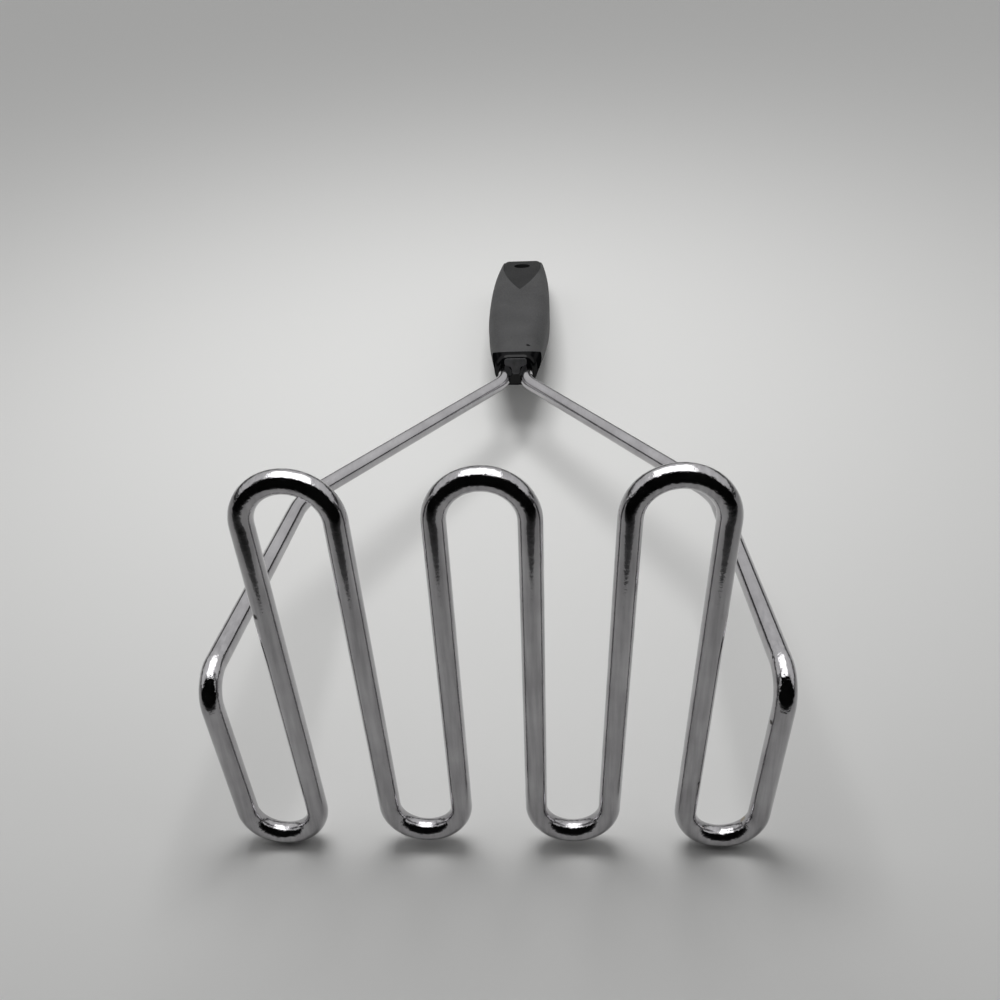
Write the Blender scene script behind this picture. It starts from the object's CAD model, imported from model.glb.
import math

import bmesh
import bpy
from mathutils import Matrix, Vector


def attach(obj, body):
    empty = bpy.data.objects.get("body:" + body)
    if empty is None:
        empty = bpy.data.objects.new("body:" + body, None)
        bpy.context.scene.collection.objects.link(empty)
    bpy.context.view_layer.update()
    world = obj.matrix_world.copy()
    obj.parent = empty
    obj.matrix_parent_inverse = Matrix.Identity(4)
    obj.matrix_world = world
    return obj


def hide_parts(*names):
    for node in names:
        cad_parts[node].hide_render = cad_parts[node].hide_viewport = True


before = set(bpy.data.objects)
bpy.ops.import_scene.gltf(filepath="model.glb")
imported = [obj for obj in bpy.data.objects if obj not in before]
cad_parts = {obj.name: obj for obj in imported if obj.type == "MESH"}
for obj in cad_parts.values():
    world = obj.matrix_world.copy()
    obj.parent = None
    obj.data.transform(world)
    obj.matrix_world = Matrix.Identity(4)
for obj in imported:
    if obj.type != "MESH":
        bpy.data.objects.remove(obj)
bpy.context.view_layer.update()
scene = bpy.context.scene


# Mashing wire
# One round chromed wire: two tangs, two legs and a zigzag head of seven loops. A ring of
# points runs along each straight and spins round each bend, and the finished wire is then
# laid on its outer lower loops. It is drawn in the place of the source's wire.
wire_radius = 0.0024
low_loop_pitch = 0.0334
high_loop_pitch = 0.0363
low_loop_bend = 0.0082
high_loop_bend = 0.0090
high_loop_rise = 0.0483
outer_loop_drop = 0.0456
inner_loop_drop = 0.0441
leg_root_half_span = 0.0606
leg_root_bend = 0.0072
leg_shoulder_half_span = 0.0581
leg_shoulder_reach = 0.0775
leg_shoulder_bend = 0.0230
leg_neck_reach = 0.1616
leg_neck_bend = 0.0160
tang_half_spacing = 0.0040
tang_end = 0.2165
ring_points = 48
bend_step = math.radians(5)
rest_tilt = math.radians(-7.752066)
rest_shift = (0, -0.1409156, 0.0475833)


def corner_bend(before, corner, after, radius):
    """Start, centre, axis and angle of the bend that rounds one corner."""
    arriving = (corner - before).normalized()
    leaving = (after - corner).normalized()
    angle = arriving.angle(leaving)
    start = corner - arriving * radius * math.tan(angle / 2)
    axis = arriving.cross(leaving).normalized()
    centre = start + axis.cross(arriving) * radius
    return start, centre, axis, angle


def loop_bend(centre, start, end, axis):
    """Start, centre, axis and angle of a loop from one tangent point round to the next."""
    first = start - centre
    last = end - centre
    angle = math.atan2(axis.dot(first.cross(last)), first.dot(last)) % math.tau
    return start, centre, axis, angle


def crossing(centre_a, radius_a, centre_b, radius_b, side):
    """Ends of the straight run that crosses from one loop to the next."""
    across = centre_b - centre_a
    lean = math.asin((radius_a + radius_b) / across.length)
    bearing = math.atan2(across.z, across.x) + side * (math.pi / 2 - lean)
    outward = Vector((math.cos(bearing), 0, math.sin(bearing)))
    return centre_a + outward * radius_a, centre_b - outward * radius_b


def points_in(geom):
    """The points among the items that a bmesh operator gives back."""
    return [item for item in geom if isinstance(item, bmesh.types.BMVert)]


def edges_among(verts):
    """The edges with both ends among these points, each once."""
    met = dict.fromkeys(edge for vert in verts for edge in vert.link_edges)
    return [edge for edge in met if all(vert in verts for vert in edge.verts)]


def placed_object(name, form):
    """An object in the scene with the shape of a finished bmesh."""
    mesh = bpy.data.meshes.new(name)
    form.to_mesh(mesh)
    form.free()
    made = bpy.data.objects.new(name, mesh)
    scene.collection.objects.link(made)
    return made


low = []
for index, drop in enumerate((outer_loop_drop, inner_loop_drop, inner_loop_drop, outer_loop_drop)):
    low.append(Vector(((index - 1.5) * low_loop_pitch, 0, low_loop_bend - drop)))
high = []
for index in range(3):
    high.append(Vector(((index - 1) * high_loop_pitch, 0, high_loop_rise - high_loop_bend)))

under = Vector((0, -1, 0))
over = Vector((0, 1, 0))
left_corners = [
    Vector((-tang_half_spacing, tang_end, 0)),
    Vector((-tang_half_spacing, leg_neck_reach, 0)),
    Vector((-leg_shoulder_half_span, leg_shoulder_reach, 0)),
    Vector((-leg_root_half_span, 0, 0)),
]
right_corners = [Vector((-corner.x, corner.y, corner.z)) for corner in reversed(left_corners)]
left_entry, _ = crossing(low[0], low_loop_bend, left_corners[-1], 0, 1)
right_entry, _ = crossing(low[-1], low_loop_bend, right_corners[0], 0, -1)

bends = []
corners = left_corners + [left_entry]
for index, radius in enumerate((leg_neck_bend, leg_shoulder_bend, leg_root_bend)):
    bends.append(corner_bend(*corners[index:index + 3], radius))
entry = left_entry
for index in range(3):
    climb, crest_in = crossing(low[index], low_loop_bend, high[index], high_loop_bend, -1)
    fall, crest_out = crossing(low[index + 1], low_loop_bend, high[index], high_loop_bend, 1)
    bends.append(loop_bend(low[index], entry, climb, under))
    bends.append(loop_bend(high[index], crest_in, crest_out, over))
    entry = fall
bends.append(loop_bend(low[-1], entry, right_entry, under))
corners = [right_entry] + right_corners
for index, radius in enumerate((leg_root_bend, leg_shoulder_bend, leg_neck_bend)):
    bends.append(corner_bend(*corners[index:index + 3], radius))

wire_form = bmesh.new()
tip = left_corners[0]
facing = Matrix.Rotation(math.pi / 2, 4, "X")
ring = bmesh.ops.create_circle(
    wire_form, cap_ends=True, segments=ring_points, radius=wire_radius,
    matrix=Matrix.Translation(tip) @ facing,
)["verts"]
for start, centre, axis, angle in bends:
    run = bmesh.ops.extrude_edge_only(wire_form, edges=edges_among(ring))["geom"]
    ring = points_in(run)
    bmesh.ops.translate(wire_form, verts=ring, vec=start - tip)
    turn = bmesh.ops.spin(
        wire_form, geom=edges_among(ring) + ring, cent=centre, axis=axis, angle=angle,
        steps=math.ceil(angle / bend_step), use_duplicate=False,
    )["geom_last"]
    ring = points_in(turn)
    tip = Matrix.Rotation(angle, 3, axis) @ (start - centre) + centre
run = bmesh.ops.extrude_edge_only(wire_form, edges=edges_among(ring))["geom"]
ring = points_in(run)
bmesh.ops.translate(wire_form, verts=ring, vec=right_corners[-1] - tip)
bmesh.ops.edgeloop_fill(wire_form, edges=edges_among(ring))
bmesh.ops.recalc_face_normals(wire_form, faces=wire_form.faces)
lay_down = Matrix.Translation(rest_shift) @ Matrix.Rotation(rest_tilt, 4, "X")
wire_form.transform(lay_down)
for face in wire_form.faces:
    face.smooth = len(face.verts) == 4
wire = placed_object("chromed_wire", wire_form)
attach(wire, "root")
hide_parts("mashing_wire")


def new_material(name):
    """A material with its node tree, its shader and the object's own coordinates."""
    material = bpy.data.materials.new(name)
    material.use_nodes = True
    tree = material.node_tree
    place = tree.nodes.new("ShaderNodeTexCoord").outputs["Object"]
    return material, tree, tree.nodes["Principled BSDF"], place


def new_group(name, inputs, outputs):
    """A node group with its sockets, given as label and kind, and its two end nodes."""
    group = bpy.data.node_groups.new(name, "ShaderNodeTree")
    for label, kind in inputs:
        group.interface.new_socket(label, in_out="INPUT", socket_type="NodeSocket" + kind)
    for label, kind in outputs:
        group.interface.new_socket(label, in_out="OUTPUT", socket_type="NodeSocket" + kind)
    return group, group.nodes.new("NodeGroupInput").outputs, group.nodes.new("NodeGroupOutput").inputs


def noise(tree, place, scale, detail):
    """Noise at a place, with a scale that is a number or another node's output."""
    node = tree.nodes.new("ShaderNodeTexNoise")
    node.inputs["Detail"].default_value = detail
    tree.links.new(place, node.inputs["Vector"])
    if isinstance(scale, bpy.types.NodeSocket):
        tree.links.new(scale, node.inputs["Scale"])
    else:
        node.inputs["Scale"].default_value = scale
    return node


def spread(tree, value, value_ends, result_ends, easing="LINEAR"):
    """A value taken from one range to another."""
    node = tree.nodes.new("ShaderNodeMapRange")
    node.interpolation_type = easing
    tree.links.new(value, node.inputs["Value"])
    for label, number in zip(("From Min", "From Max"), value_ends):
        node.inputs[label].default_value = number
    for label, end in zip(("To Min", "To Max"), result_ends):
        if isinstance(end, bpy.types.NodeSocket):
            tree.links.new(end, node.inputs[label])
        else:
            node.inputs[label].default_value = end
    return node.outputs["Result"]


def calculated(tree, operation, *values):
    """One sum on the outputs of other nodes."""
    node = tree.nodes.new("ShaderNodeMath")
    node.operation = operation
    for index, value in enumerate(values):
        tree.links.new(value, node.inputs[index])
    return node.outputs["Value"]


def raise_bumps(tree, shader, height, strength, depth):
    """A height that the shader shows as small bumps."""
    bump = tree.nodes.new("ShaderNodeBump")
    bump.inputs["Strength"].default_value = strength
    bump.inputs["Distance"].default_value = depth
    tree.links.new(height, bump.inputs["Height"])
    tree.links.new(bump.outputs["Normal"], shader.inputs["Normal"])


def spot_at(tree, place, centre, radius, ragged):
    """The mask of one round spot on the surface."""
    node = tree.nodes.new("ShaderNodeGroup")
    node.node_tree = spot
    node.inputs["Centre"].default_value = centre
    node.inputs["Radius"].default_value = radius
    node.inputs["Ragged"].default_value = ragged
    tree.links.new(place, node.inputs["Place"])
    return node.outputs["Mask"]


spot_inputs = (("Place", "Vector"), ("Centre", "Vector"), ("Radius", "Float"), ("Ragged", "Float"))
spot, spot_in, spot_out = new_group("surface_spot", spot_inputs, (("Mask", "Float"),))
spot_grain_scale = 1800
spot_fade = (1.35, 0.85)
spot_gap = spot.nodes.new("ShaderNodeVectorMath")
spot_gap.operation = "DISTANCE"
spot.links.new(spot_in["Place"], spot_gap.inputs[0])
spot.links.new(spot_in["Centre"], spot_gap.inputs[1])
spot_grain = noise(spot, spot_in["Place"], spot_grain_scale, 2).outputs["Fac"]
spot_share = calculated(spot, "DIVIDE", spot_gap.outputs["Value"], spot_in["Radius"])
spot_edge = calculated(spot, "MULTIPLY_ADD", spot_grain, spot_in["Ragged"], spot_share)
spot.links.new(spread(spot, spot_edge, spot_fade, (0, 1), "SMOOTHSTEP"), spot_out["Mask"])

chrome, tree, shader, place = new_material("chrome_plate")
shader.inputs["Metallic"].default_value = 1.0

# Clouded tone of the plating, with fine lines along the runs of the head from drawing the
# wire. They are fainter on the legs, behind the head.
plate_dark = (0.39, 0.382, 0.394, 1)
plate_light = (0.48, 0.473, 0.485, 1)
plate_cloud_scale = 110
line_stretch = (1.0, 0.35, 0.06)
line_scale = 1100
line_tone_on_head = 0.82
line_tone_on_legs = 0.95
legs_begin = (-0.130, -0.112)
cloud = noise(tree, place, plate_cloud_scale, 4)
plate_tone = tree.nodes.new("ShaderNodeValToRGB")
for stop, position, tone in zip(plate_tone.color_ramp.elements, (0.32, 0.68), (plate_dark, plate_light)):
    stop.position = position
    stop.color = tone
tree.links.new(cloud.outputs["Fac"], plate_tone.inputs["Fac"])
along = tree.nodes.new("ShaderNodeMapping")
along.inputs["Scale"].default_value = line_stretch
tree.links.new(place, along.inputs["Vector"])
drawn_lines = noise(tree, along.outputs["Vector"], line_scale, 3).outputs["Fac"]
from_head = tree.nodes.new("ShaderNodeSeparateXYZ")
tree.links.new(place, from_head.inputs["Vector"])
line_ends = (line_tone_on_head, line_tone_on_legs)
line_tone = spread(tree, from_head.outputs["Y"], legs_begin, line_ends)
streaked = tree.nodes.new("ShaderNodeVectorMath")
streaked.operation = "SCALE"
tree.links.new(plate_tone.outputs["Color"], streaked.inputs["Vector"])
tree.links.new(spread(tree, drawn_lines, (0.35, 0.65), (line_tone, 1.0)), streaked.inputs["Scale"])

# Haze that makes the gloss uneven
haze_scale = 420
haze_roughness = (0.05, 0.14)
haze = noise(tree, place, haze_scale, 5).outputs["Fac"]
hazed = spread(tree, haze, (0.3, 0.75), haze_roughness)

# Ripples, deepest round the bends, where the plating has an orange peel
ripple_scale = 820
ripple_share = (0.22, 1.0)
ripple_depth = 0.00010
peeled_bends = (
    ((-0.0363, -0.1340, 0.0970), 0.0100), ((0.0, -0.1340, 0.0970), 0.0100),
    ((0.0363, -0.1340, 0.0970), 0.0100), ((-0.0498, -0.1470, 0.0060), 0.0080),
    ((-0.0167, -0.1470, 0.0060), 0.0080), ((0.0167, -0.1470, 0.0060), 0.0080),
    ((0.0498, -0.1470, 0.0060), 0.0080), ((-0.0600, -0.1400, 0.0470), 0.0075),
    ((0.0600, -0.1400, 0.0470), 0.0075),
)
peel = None
for bend_place, reach in peeled_bends:
    patch = spot_at(tree, place, bend_place, reach, 0.0)
    peel = patch if peel is None else calculated(tree, "MAXIMUM", peel, patch)
ripple = noise(tree, place, ripple_scale, 3)
ripple.inputs["Roughness"].default_value = 0.6
ripple_height = calculated(tree, "MULTIPLY", ripple.outputs["Fac"], spread(tree, peel, (0, 1), ripple_share))
raise_bumps(tree, shader, ripple_height, 1.0, ripple_depth)

# A chip, a dot, a nick and a faint brown speckle: place, radius, raggedness, colour, roughness
wear_marks = (
    ((-0.04577, -0.14030, 0.06669), 0.0009, 0.9, (0.05, 0.047, 0.045, 1), 0.45),
    ((0.05772, -0.14300, 0.03790), 0.0006, 0.5, (0.10, 0.095, 0.09, 1), 0.40),
    ((0.04393, -0.14632, 0.02141), 0.0006, 0.9, (0.04, 0.038, 0.036, 1), 0.45),
    ((0.05510, -0.14556, 0.00721), 0.0016, 1.3, (0.33, 0.28, 0.20, 1), 0.30),
)
colour = streaked.outputs["Vector"]
gloss = hazed
for mark_place, reach, ragged, mark_colour, mark_roughness in wear_marks:
    mark = spot_at(tree, place, mark_place, reach, ragged)
    tint = tree.nodes.new("ShaderNodeMix")
    tint.data_type = "RGBA"
    tint.inputs["B"].default_value = mark_colour
    dull = tree.nodes.new("ShaderNodeMix")
    dull.inputs["B"].default_value = mark_roughness
    tree.links.new(mark, tint.inputs["Factor"])
    tree.links.new(mark, dull.inputs["Factor"])
    tree.links.new(colour, tint.inputs["A"])
    tree.links.new(gloss, dull.inputs["A"])
    colour = tint.outputs["Result"]
    gloss = dull.outputs["Result"]
tree.links.new(colour, shader.inputs["Base Color"])
tree.links.new(gloss, shader.inputs["Roughness"])
wire.data.materials.append(chrome)


# Grip sleeve
# Matte dark grey soft plastic over the core, with a faint fine grain. The same moulded skin,
# in other tones, is on the other plastic pieces.
soft_dark = (0.038, 0.038, 0.039, 1)
soft_light = (0.058, 0.058, 0.059, 1)
soft_roughness = (0.52, 0.74)
soft_cloud_scale = 60
soft_grain_scale = 2600
soft_grain_strength = 0.6
soft_grain_depth = 0.00005
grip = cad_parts["grip_sleeve"]

skin_inputs = (
    ("Place", "Vector"), ("Dark", "Color"), ("Light", "Color"), ("Cloud Scale", "Float"),
    ("Grain Scale", "Float"), ("Smooth", "Float"), ("Rough", "Float"),
)
skin_outputs = (("Colour", "Color"), ("Roughness", "Float"), ("Height", "Float"))
skin_ends = (0.3, 0.7)
moulded, skin_in, skin_out = new_group("moulded_skin", skin_inputs, skin_outputs)
skin_cloud = noise(moulded, skin_in["Place"], skin_in["Cloud Scale"], 3).outputs["Fac"]
skin_grain = noise(moulded, skin_in["Place"], skin_in["Grain Scale"], 2).outputs["Fac"]
skin_tone = moulded.nodes.new("ShaderNodeMix")
skin_tone.data_type = "RGBA"
moulded.links.new(spread(moulded, skin_cloud, skin_ends, (0, 1)), skin_tone.inputs["Factor"])
moulded.links.new(skin_in["Dark"], skin_tone.inputs["A"])
moulded.links.new(skin_in["Light"], skin_tone.inputs["B"])
skin_rough = spread(moulded, skin_grain, skin_ends, (skin_in["Smooth"], skin_in["Rough"]))
moulded.links.new(skin_tone.outputs["Result"], skin_out["Colour"])
moulded.links.new(skin_rough, skin_out["Roughness"])
moulded.links.new(skin_grain, skin_out["Height"])


def moulded_plastic(name, tones, scales, roughness, grain_strength, grain_depth):
    """A plastic with the moulded skin: its material and the material's shader."""
    material, tree, shader, place = new_material(name)
    skin = tree.nodes.new("ShaderNodeGroup")
    skin.node_tree = moulded
    tree.links.new(place, skin.inputs["Place"])
    skin.inputs["Dark"].default_value, skin.inputs["Light"].default_value = tones
    skin.inputs["Cloud Scale"].default_value, skin.inputs["Grain Scale"].default_value = scales
    skin.inputs["Smooth"].default_value, skin.inputs["Rough"].default_value = roughness
    tree.links.new(skin.outputs["Colour"], shader.inputs["Base Color"])
    tree.links.new(skin.outputs["Roughness"], shader.inputs["Roughness"])
    raise_bumps(tree, shader, skin.outputs["Height"], grain_strength, grain_depth)
    return material, shader


soft, shader = moulded_plastic(
    "soft_touch_grey", (soft_dark, soft_light), (soft_cloud_scale, soft_grain_scale),
    soft_roughness, soft_grain_strength, soft_grain_depth,
)
shader.inputs["Specular IOR Level"].default_value = 0.3
grip.data.materials.clear()
grip.data.materials.append(soft)


# Handle core
# Satin charcoal hard plastic moulded round the tangs, seen as the shield round the hanging
# hole in the window of the grip.
charcoal_dark = (0.013, 0.013, 0.0135, 1)
charcoal_light = (0.022, 0.022, 0.0225, 1)
charcoal_roughness = (0.46, 0.62)
charcoal_cloud_scale = 90
charcoal_grain_scale = 3200
charcoal_grain_strength = 0.4
charcoal_grain_depth = 0.00003
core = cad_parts["handle_core"]
charcoal, shader = moulded_plastic(
    "charcoal_plastic", (charcoal_dark, charcoal_light), (charcoal_cloud_scale, charcoal_grain_scale),
    charcoal_roughness, charcoal_grain_strength, charcoal_grain_depth,
)
shader.inputs["IOR"].default_value = 1.2
core.data.materials.clear()
core.data.materials.append(charcoal)


# Neck boss
# The end of the core between and above the two wires, rubbed paler, a little proud of the
# collar's face. A flat T is cut out, rounded and raised.
boss_face = 0.1715
boss_sunk = 0.0004
boss_proud = 0.00025
boss_corner = 0.0010
boss_edge = 0.00015
boss_outline = (
    (-0.0041, 0.0049), (-0.0041, 0.0021), (-0.0015, 0.0017), (-0.0015, -0.0012),
    (0.0015, -0.0012), (0.0015, 0.0017), (0.0041, 0.0021), (0.0041, 0.0049),
)
rubbed_dark = (0.055, 0.055, 0.057, 1)
rubbed_light = (0.095, 0.095, 0.098, 1)
rubbed_roughness = (0.42, 0.60)
rubbed_cloud_scale = 400

boss_form = bmesh.new()
boss_form.faces.new([boss_form.verts.new((x, boss_face + boss_sunk, z)) for x, z in boss_outline])
bmesh.ops.bevel(
    boss_form, geom=boss_form.verts[:], offset=boss_corner, offset_type="OFFSET", segments=5,
    profile=0.5, affect="VERTICES", material=-1,
)
raised = bmesh.ops.extrude_face_region(boss_form, geom=boss_form.faces[:])["geom"]
boss_front = points_in(raised)
bmesh.ops.translate(boss_form, verts=boss_front, vec=(0, -boss_sunk - boss_proud, 0))
bmesh.ops.bevel(
    boss_form, geom=edges_among(boss_front), offset=boss_edge, offset_type="OFFSET", segments=3,
    profile=0.5, affect="EDGES", material=-1,
)
bmesh.ops.recalc_face_normals(boss_form, faces=boss_form.faces)
boss_form.transform(lay_down)
boss = placed_object("neck_boss", boss_form)
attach(boss, "root")
rubbed, shader = moulded_plastic(
    "rubbed_charcoal_plastic", (rubbed_dark, rubbed_light), (rubbed_cloud_scale, charcoal_grain_scale),
    rubbed_roughness, charcoal_grain_strength, charcoal_grain_depth,
)
shader.inputs["IOR"].default_value = 1.3
boss.data.materials.append(rubbed)


# Neck collar
# Glossy black hard plastic, moulded as a cap over the end of the grip, where the two wires
# come out. Its coat is strongest face on and is gone edge on.
black_dark = (0.0015, 0.0015, 0.0018, 1)
black_light = (0.0040, 0.0040, 0.0046, 1)
black_roughness = (0.28, 0.42)
black_cloud_scale = 120
black_grain_scale = 1500
black_grain_strength = 0.2
black_grain_depth = 0.00002
coat_ior = 1.45
coat_roughness = 0.12
coat_weight = (0.45, 0.0)
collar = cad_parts["neck_collar"]
black, shader = moulded_plastic(
    "glossy_black_plastic", (black_dark, black_light), (black_cloud_scale, black_grain_scale),
    black_roughness, black_grain_strength, black_grain_depth,
)
shader.inputs["Specular IOR Level"].default_value = 0.0
shader.inputs["Coat IOR"].default_value = coat_ior
shader.inputs["Coat Roughness"].default_value = coat_roughness
tree = black.node_tree
edge_on = tree.nodes.new("ShaderNodeLayerWeight")
polish = spread(tree, edge_on.outputs["Facing"], (0.15, 0.75), coat_weight)
tree.links.new(polish, shader.inputs["Coat Weight"])
collar.data.materials.clear()
collar.data.materials.append(black)


# Floor, light and camera
# A pale floor in a soft white tent, one soft lamp over the handle, a panel over the head that
# only mirrors show, and a dark opening in front, not seen by the camera, that the chrome
# mirrors as its black bands.
floor_half_size = 3.0
floor_colour = (0.80, 0.80, 0.79, 1)
opening_profile = ((-0.285, 0.0), (-0.32, 0.20), (-0.37, 0.48), (-0.27, 0.57))
opening_half_width = 0.6
opening_foot = 0.035
opening_tone = (0.14, 0.004)
tent_light = (0.43, 0.43, 0.43, 1)
tent_seen = (0.38, 0.38, 0.375, 1)
tent_wall_stops = ((0.00, 0.05), (0.15, 0.05), (0.22, 0.74), (0.75, 0.90))
camera_lens = 32.5
camera_sensor = 36.0
camera_place = (0.013346, -0.264903, 0.191378)
camera_turn = (52.313, 2.705, 2.213)

floor_form = bmesh.new()
bmesh.ops.create_grid(floor_form, x_segments=1, y_segments=1, size=floor_half_size)
floor = placed_object("floor", floor_form)
paper = bpy.data.materials.new("pale_paper")
paper.use_nodes = True
shader = paper.node_tree.nodes["Principled BSDF"]
shader.inputs["Base Color"].default_value = floor_colour
shader.inputs["Roughness"].default_value = 0.9
shader.inputs["Specular IOR Level"].default_value = 0.1
floor.data.materials.append(paper)

opening_form = bmesh.new()
opening_points = [opening_form.verts.new((-opening_half_width, y, z)) for y, z in opening_profile]
opening_lines = [opening_form.edges.new(pair) for pair in zip(opening_points[:-1], opening_points[1:])]
widened = bmesh.ops.extrude_edge_only(opening_form, edges=opening_lines)["geom"]
bmesh.ops.translate(opening_form, verts=points_in(widened), vec=(2 * opening_half_width, 0, 0))
opening = placed_object("dark_opening", opening_form)
opening.visible_camera = False
opening.visible_shadow = False
dark, tree, shader, place = new_material("dark_room")
shader.inputs["Roughness"].default_value = 1.0
shader.inputs["Specular IOR Level"].default_value = 0.0
rise = tree.nodes.new("ShaderNodeSeparateXYZ")
tree.links.new(place, rise.inputs["Vector"])
fade = spread(tree, rise.outputs["Z"], (0, opening_foot), opening_tone, "SMOOTHSTEP")
tree.links.new(fade, shader.inputs["Base Color"])
opening.data.materials.append(dark)

world = bpy.data.worlds.new("white_tent")
scene.world = world
world.use_nodes = True
nodes = world.node_tree.nodes
links = world.node_tree.links
tent = nodes["Background"]
ray = nodes.new("ShaderNodeLightPath")
towards = nodes.new("ShaderNodeTexCoord")
height = nodes.new("ShaderNodeSeparateXYZ")
tent_wall = nodes.new("ShaderNodeValToRGB")
while len(tent_wall.color_ramp.elements) < len(tent_wall_stops):
    tent_wall.color_ramp.elements.new(0.5)
for stop, (position, tone) in zip(tent_wall.color_ramp.elements, tent_wall_stops):
    stop.position = position
    stop.color = (tone, tone, tone, 1)
mirrored_tent = nodes.new("ShaderNodeMix")
mirrored_tent.data_type = "RGBA"
mirrored_tent.inputs["A"].default_value = tent_light
seen_tent = nodes.new("ShaderNodeMix")
seen_tent.data_type = "RGBA"
seen_tent.inputs["B"].default_value = tent_seen
links.new(towards.outputs["Generated"], height.inputs["Vector"])
links.new(height.outputs["Z"], tent_wall.inputs["Fac"])
links.new(ray.outputs["Is Glossy Ray"], mirrored_tent.inputs["Factor"])
links.new(tent_wall.outputs["Color"], mirrored_tent.inputs["B"])
links.new(ray.outputs["Is Camera Ray"], seen_tent.inputs["Factor"])
links.new(mirrored_tent.outputs["Result"], seen_tent.inputs["A"])
links.new(seen_tent.outputs["Result"], tent.inputs["Color"])
tent.inputs["Strength"].default_value = 1.0

for name, place, aim, width, depth, power, lights_up, mirrored in (
    ("over_lamp", (-0.03, 0.03, 0.41), (-0.03, 0.15, 0), 0.22, 0.22, 1.06, True, False),
    ("crest_panel", (-0.02, -0.015, 0.42), (-0.02, -0.015, 0), 0.40, 0.43, 1.35, False, True),
):
    lamp_data = bpy.data.lights.new(name, "AREA")
    lamp_data.shape = "RECTANGLE"
    lamp_data.size = width
    lamp_data.size_y = depth
    lamp_data.energy = power
    lamp = bpy.data.objects.new(name, lamp_data)
    lamp.location = place
    lamp.rotation_euler = (Vector(aim) - Vector(place)).to_track_quat("-Z", "Y").to_euler()
    lamp.visible_camera = False
    lamp.visible_diffuse = lights_up
    lamp.visible_glossy = mirrored
    scene.collection.objects.link(lamp)

camera_data = bpy.data.cameras.new("camera")
camera_data.lens = camera_lens
camera_data.sensor_width = camera_sensor
camera_data.clip_start = 0.01
camera = bpy.data.objects.new("camera", camera_data)
camera.location = camera_place
camera.rotation_euler = [math.radians(angle) for angle in camera_turn]
scene.collection.objects.link(camera)
scene.camera = camera

scene.view_settings.view_transform = "Standard"
